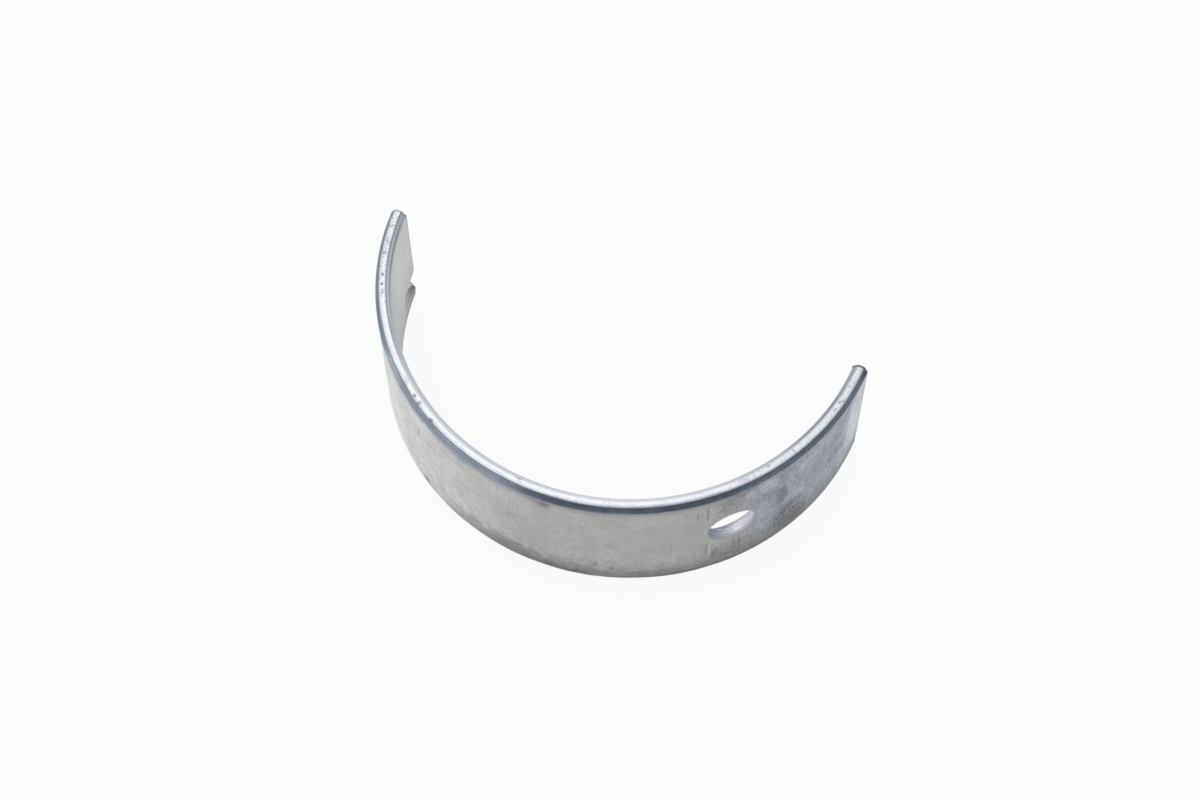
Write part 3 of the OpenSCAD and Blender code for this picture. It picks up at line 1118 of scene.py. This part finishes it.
def lining_chamfer(start):
    """Cut lining: painted reflections in stripes at the tang end, clear in front, and a painted reflection
    of the dark horizon as a stripe at the plain end.
    """
    along, _, radius = shell_place(start)
    lines = speckle(along * 0.4, radius * 9.0, 1.0, 3.0, 0.6)
    across = (radius - bore_r) / bore_chamfer
    colour = tinted(rising(lines, 0.35, 0.65), lining_dark, lining_light)
    colour = tinted(between(along, 3.0, 17.0, 4.0) * 0.5, colour, front_pale)
    clear = rising(across, 0.45, 1.0) * (0.55 + rising(along, -26.0, -15.0) * 0.45)
    colour = tinted(clear, colour, clear_pale)
    colour = tinted(1 - rising(along, -32.0, -22.0), colour, tang_end_stripes(along, across))
    plain_side = rising(along, 14.0, 30.0)
    colour = tinted(plain_side, colour, plain_pale)
    # Painted reflection of the dark horizon as a stripe across the middle of the chamfer at the plain end.
    dull = plain_side * between(across, 0.20, 0.78, 0.13) * (0.7 + rising(along, 30.0, 35.0) * 0.3)
    colour = tinted(dull, colour, tinted(rising(along, 40.0, 45.0), horizon_band_grey, horizon_band_end))
    return worn_ends(along, colour), 0.26 + lines * 0.12, lines, 0.01


metal_finish(lining_chamfer)

# %% [markdown]
# ## The running face
# The shaft turns on a soft lining. It is smooth but dull, a light even grey with faint marks along
# the shaft's axis. Low down it is darker with painted shade, where it reflects the floor's contact
# shadow, most of all in the corner below the tang. Stretched noise gives the marks: a small factor on
# the height draws each spot out into a streak.

# %% Finish of the running face
corner_shade_ovals = [(-46.4, -8.6, 1.8, 1.2, 0.62), (-44.2, -8.9, 2.6, 0.9, 0.55), (-41.5, -9.2, 3.4, 0.7, 0.4)]
lining_grey, lining_pale = (0.53, 0.527, 0.535), (0.60, 0.595, 0.60)
low_shade_grey, inside_grey, contact_shade_dark = (0.40, 0.395, 0.395), (0.38, 0.38, 0.392), (0.16, 0.15, 0.15)


def running_face(start):
    """Dull lining, with painted shade low down and in the corner below the tang, and darker away from the
    tang end.
    """
    along, z, _ = shell_place(start)
    streaks = speckle(along * 1.4, z * 0.08, 1.0, 4.0, 0.6)
    cloud = speckle(along, z, 0.2, 3.0)
    colour = tinted(rising(streaks * 0.6 + cloud * 0.4, 0.35, 0.65), lining_grey, lining_pale)
    # Painted shade: the floor's contact shadow as the running face reflects it low down.
    low = 1 - rising(z + (cloud - 0.5) * 2.0, -9.5, 2.0)
    colour = tinted(low * 0.75, colour, low_shade_grey)
    inside = rising(along + (cloud - 0.5) * 3.0, -42.0, -33.0)
    colour = tinted(inside * 0.75, colour, inside_grey)
    # Painted contact shade in the corner below the tang.
    colour = tinted(marked(along, z, corner_shade_ovals), colour, contact_shade_dark)
    return worn_ends(along, colour), 0.42 + cloud * 0.12, streaks, 0.01


metal_finish(running_face)

# %% [markdown]
# ## The tang's pocket
# The press has burnished the pocket and left it brown at the lip. The fold that it pressed isn't in
# the mesh: a dark crease with painted shade along it and painted light on the facet below it stand in
# for the fold. All of that follows the pocket's depth. So the depth is taken from the radius, with a
# little noise, and a slanting line in it marks the fold.

# %% Finish of the pocket
pocket_grey, pocket_pale, lip_brown = (0.44, 0.435, 0.455), (0.52, 0.515, 0.535), (0.24, 0.228, 0.24)
slate, crease_shade, lit_facet_pale = (0.165, 0.17, 0.205), (0.10, 0.105, 0.13), (0.64, 0.66, 0.73)
fold_depth, fold_from, fold_rise = 0.27, -47.1, 0.30


def pressed_tang(start):
    """Pressed lining, with painted shade along the fold and painted light on the facet below it."""
    along, z, radius = shell_place(start)
    marks = speckle(along * 1.5, z * 1.5, 1.0, 3.0, 0.6)
    depth = (radius - bore_r) + (marks - 0.5) * 0.2
    fold = depth - fold_depth - (along - fold_from) * fold_rise
    near_end = 1 - rising(along, -46.0, -45.2)
    colour = tinted(rising(marks, 0.35, 0.65), pocket_grey, pocket_pale)
    brown = (1 - rising(depth, 0.08, 0.42)) * (1 - rising(along, -44.6, -43.0))
    colour = tinted(brown * 0.45, colour, lip_brown)
    # Painted shade along the fold, a dark crease, and painted light on the lit facet below it.
    fold_shade_side = (1 - rising(fold, -0.08, 0.02)) * (1 - rising(along, -46.5, -44.3))
    colour = tinted(fold_shade_side * 0.75, colour, slate)
    colour = tinted(between(fold, -0.10, 0.03, 0.05) * near_end * 0.7, colour, crease_shade)
    colour = tinted(rising(fold, 0.04, 0.14) * near_end * 0.9, colour, lit_facet_pale)
    return worn_ends(along, colour), 0.30 + marks * 0.12, marks, 0.02


metal_finish(pressed_tang)

# %% [markdown]
# ## The drilled hole
# A drill leaves fine rings and a torn, half dull surface. Painted light makes the wall bright on the
# side that faces the light, and painted shade makes it dark on the other side and in the countersink.
# Full metal would mirror the white table inside the hole, so this finish is only part metal. Its rings
# come from noise that is squeezed along the radius.

# %% Finish of the hole
drill_grey, drill_pale, drill_shade = (0.56, 0.585, 0.65), (0.86, 0.87, 0.92), (0.23, 0.265, 0.325)
lit_grey, lit_pale = (0.73, 0.755, 0.82), (0.98, 0.985, 1.0)
sink_shade_dark, rim_grey = (0.13, 0.135, 0.18), (0.36, 0.37, 0.395)
drilled_metallic = 0.4


def drilled_wall(start):
    """Drilled steel, with painted shade on one side and in the countersink, and painted light on the other.
    """
    along, z, radius = shell_place(start)
    lines = speckle(along * 1.6 + z * 0.5, radius * 4.0, 1.0, 4.0, 0.7)
    side = along - hole_angle * back_r
    colour = tinted(rising(lines, 0.35, 0.65), drill_grey, drill_pale)
    # Painted shade on the side away from the light.
    shaded = 1 - rising(side + (lines - 0.5) * 3.0, -2.6, 2.0)
    colour = tinted(shaded * 0.8, colour, drill_shade)
    # Painted light on the side that faces it.
    lit = tinted(rising(lines, 0.35, 0.60), lit_grey, lit_pale)
    lit_share = rising(side, 0.2, 1.9) * (0.92 - rising(side, 2.5, 3.0) * 0.6)
    colour = tinted(lit_share, colour, lit)
    # Painted shade in the countersink.
    sink_shade = 1 - rising(radius + (lines - 0.5) * 0.6, bore_r + 0.50, bore_r + 0.90)
    colour = tinted(sink_shade * (0.5 + shaded * 0.4), colour, sink_shade_dark)
    rim = rising(radius, back_r - 0.35, back_r - 0.10)
    colour = tinted(rim * 0.6, colour, rim_grey)
    return colour, 0.48 + lines * 0.12, lines, 0.03


metal_finish(drilled_wall, drilled_metallic)

# %% [markdown]
# ## The parting faces
# They are broached flat, with fine lines across the wall and a dark rounded rim. The rim could have a
# material of its own, but that would give it a hard border. The surface normal gives a soft one: on
# the flat it points along the arc, and on the rim it turns away from it.

# %% Finish of the parting faces
broached_grey, broached_pale, rim_steel = (0.36, 0.37, 0.40), (0.52, 0.53, 0.56), (0.155, 0.165, 0.195)


def arc_direction(start):
    """Direction along the arc at a place, as a vector of length 1."""
    coords = start.node("ShaderNodeTexCoord", {}, {}, "Object")
    x, y = (start.node("ShaderNodeSeparateXYZ", {}, {0: coords}, axis) for axis in "XY")
    sideways = start.node("ShaderNodeCombineXYZ", {}, {"X": y * -1, "Y": x})
    return start.node("ShaderNodeVectorMath", {"operation": "NORMALIZE"}, {0: sideways}, "Vector")


def parting_face(start):
    """Broached metal with a dark rim."""
    _, z, radius = shell_place(start)
    lines = speckle(radius * 6.0, z * 0.8, 1.0, 3.0, 0.6)
    colour = tinted(rising(lines, 0.35, 0.65), broached_grey, broached_pale)
    normal = start.node("ShaderNodeTexCoord", {}, {}, "Normal")
    sockets = {0: normal, 1: arc_direction(start)}
    facing = start.node("ShaderNodeVectorMath", {"operation": "DOT_PRODUCT"}, sockets, "Value")
    rim = 1 - rising(start.sums("ABSOLUTE", facing), 0.75, 0.97)
    return tinted(rim, colour, rim_steel), 0.30 + lines * 0.15, lines, 0.015


metal_finish(parting_face)

# %% Give the shell its finishes
for name in finishes:
    shell_mesh.materials.append(metals[name])
print("finishes on the shell:", [material.name for material in shell_mesh.materials])

# %% [markdown]
# ## Floor
# The shell lies on a white table top. A white background could be made with more light, but that
# would bleach the metal. Instead the camera and the metal see the floor with some glow in it, which
# brings it to white and keeps the soft shadow, while the floor's own light on the shell stays plain.

# %% The table top
floor_r, floor_sides = 500.0, 128
floor_mesh = bpy.data.meshes.new("table_top")
floor_bm = bmesh.new()
bmesh.ops.create_circle(floor_bm, cap_ends=True, segments=floor_sides, radius=floor_r * MM)
floor_bm.to_mesh(floor_mesh)
floor_bm.free()
floor = bpy.data.objects.new("table_top", floor_mesh)
floor.location.z = -half_width * MM
bpy.context.scene.collection.objects.link(floor)
print("floor at", round(floor.location.z / MM, 2), "mm")

# %% White paint for the table top
floor_white, glow_white, glow_share = (0.93, 0.93, 0.93, 1.0), (1.0, 1.0, 1.0, 1.0), 0.9
floor_paint = bpy.data.materials.new("white_table_top")
floor_paint.use_nodes = True
floor_paint.node_tree.nodes.clear()
start = Value(floor_paint.node_tree)
paint = start.node("ShaderNodeBsdfDiffuse", {}, {"Color": floor_white})
glow = start.node("ShaderNodeEmission", {}, {"Color": glow_white, "Strength": 1.0})
glowing = start.node("ShaderNodeMixShader", {}, {0: glow_share, 1: paint, 2: glow})
camera_ray, glossy_ray, clear_ray = (start.node("ShaderNodeLightPath", {}, {}, f"Is {kind} Ray")
                                     for kind in ("Camera", "Glossy", "Transmission"))
seen = start.sums("MINIMUM", camera_ray + glossy_ray + clear_ray, 1.0)
surface = start.node("ShaderNodeMixShader", {}, {0: seen, 1: paint, 2: glowing})
start.node("ShaderNodeOutputMaterial", {}, {"Surface": surface})
floor_mesh.materials.append(floor_paint)
print("paint of", len(floor_paint.node_tree.nodes), "nodes")

# %% [markdown]
# ## Light
# Metal shows what is around it. A sky of one colour would make it flat, so the sky is bright
# overhead, dim at the front and lighter behind. One wide lamp from the upper left adds the
# highlight and the soft shadow of a studio softbox.

# %% Sky
front_sky, rear_sky, high_sky = (0.24, 0.25, 0.27), (0.55, 0.55, 0.56), (0.95, 0.95, 0.96)
world = bpy.data.worlds.new("studio")
bpy.context.scene.world = world
world.use_nodes = True
world.node_tree.nodes.clear()
start = Value(world.node_tree)
direction = start.node("ShaderNodeTexCoord", {}, {}, "Generated")
up = start.node("ShaderNodeSeparateXYZ", {}, {0: direction}, "Z")
away = start.node("ShaderNodeSeparateXYZ", {}, {0: direction}, "Y")
horizon = tinted(rising(away, 0.0, 0.9), front_sky, rear_sky)
sky = tinted(rising(up, 0.0, 0.75), horizon, high_sky)
background = start.node("ShaderNodeBackground", {}, {"Color": sky, "Strength": 1.0})
start.node("ShaderNodeOutputWorld", {}, {"Surface": background})
print("sky of", len(world.node_tree.nodes), "nodes")

# %% Softbox
softbox_data = bpy.data.lights.new("overhead_softbox", "AREA")
softbox_data.shape = "SQUARE"
softbox_data.size = 0.7
softbox_data.energy = 0.7
softbox = bpy.data.objects.new("overhead_softbox", softbox_data)
softbox.location = (-0.35, 0.15, 0.65)
softbox.rotation_euler = (-softbox.location).to_track_quat("-Z", "Y").to_euler()
bpy.context.scene.collection.objects.link(softbox)
print("softbox of", round(softbox_data.energy, 2), "W")

# %% [markdown]
# ## Camera
# The camera could be placed by eye. Its place, turn and lens here come from a perspective fit to
# the shell's edges in the picture, so that the outlines agree.

# %% Camera
camera_place = (53.5, -146.5, 290.71)
camera_turn, camera_tilt, camera_roll = (math.radians(a) for a in (21.419, 26.465, -0.368))
camera_data = bpy.data.cameras.new("camera")
camera_data.lens = 79.68
camera_data.sensor_width = 36.0
camera_data.clip_start = 0.01
camera = bpy.data.objects.new("camera", camera_data)
tilted = Matrix.Rotation(camera_tilt, 4, "X") @ Matrix.Rotation(camera_roll, 4, "Z")
turned = Matrix.Rotation(camera_turn, 4, "Z") @ tilted
camera.matrix_world = Matrix.Translation([v * MM for v in camera_place]) @ turned
bpy.context.scene.collection.objects.link(camera)
bpy.context.scene.camera = camera
bpy.context.scene.view_settings.view_transform = "Standard"
print("camera with a lens of", round(camera_data.lens, 2), "mm")
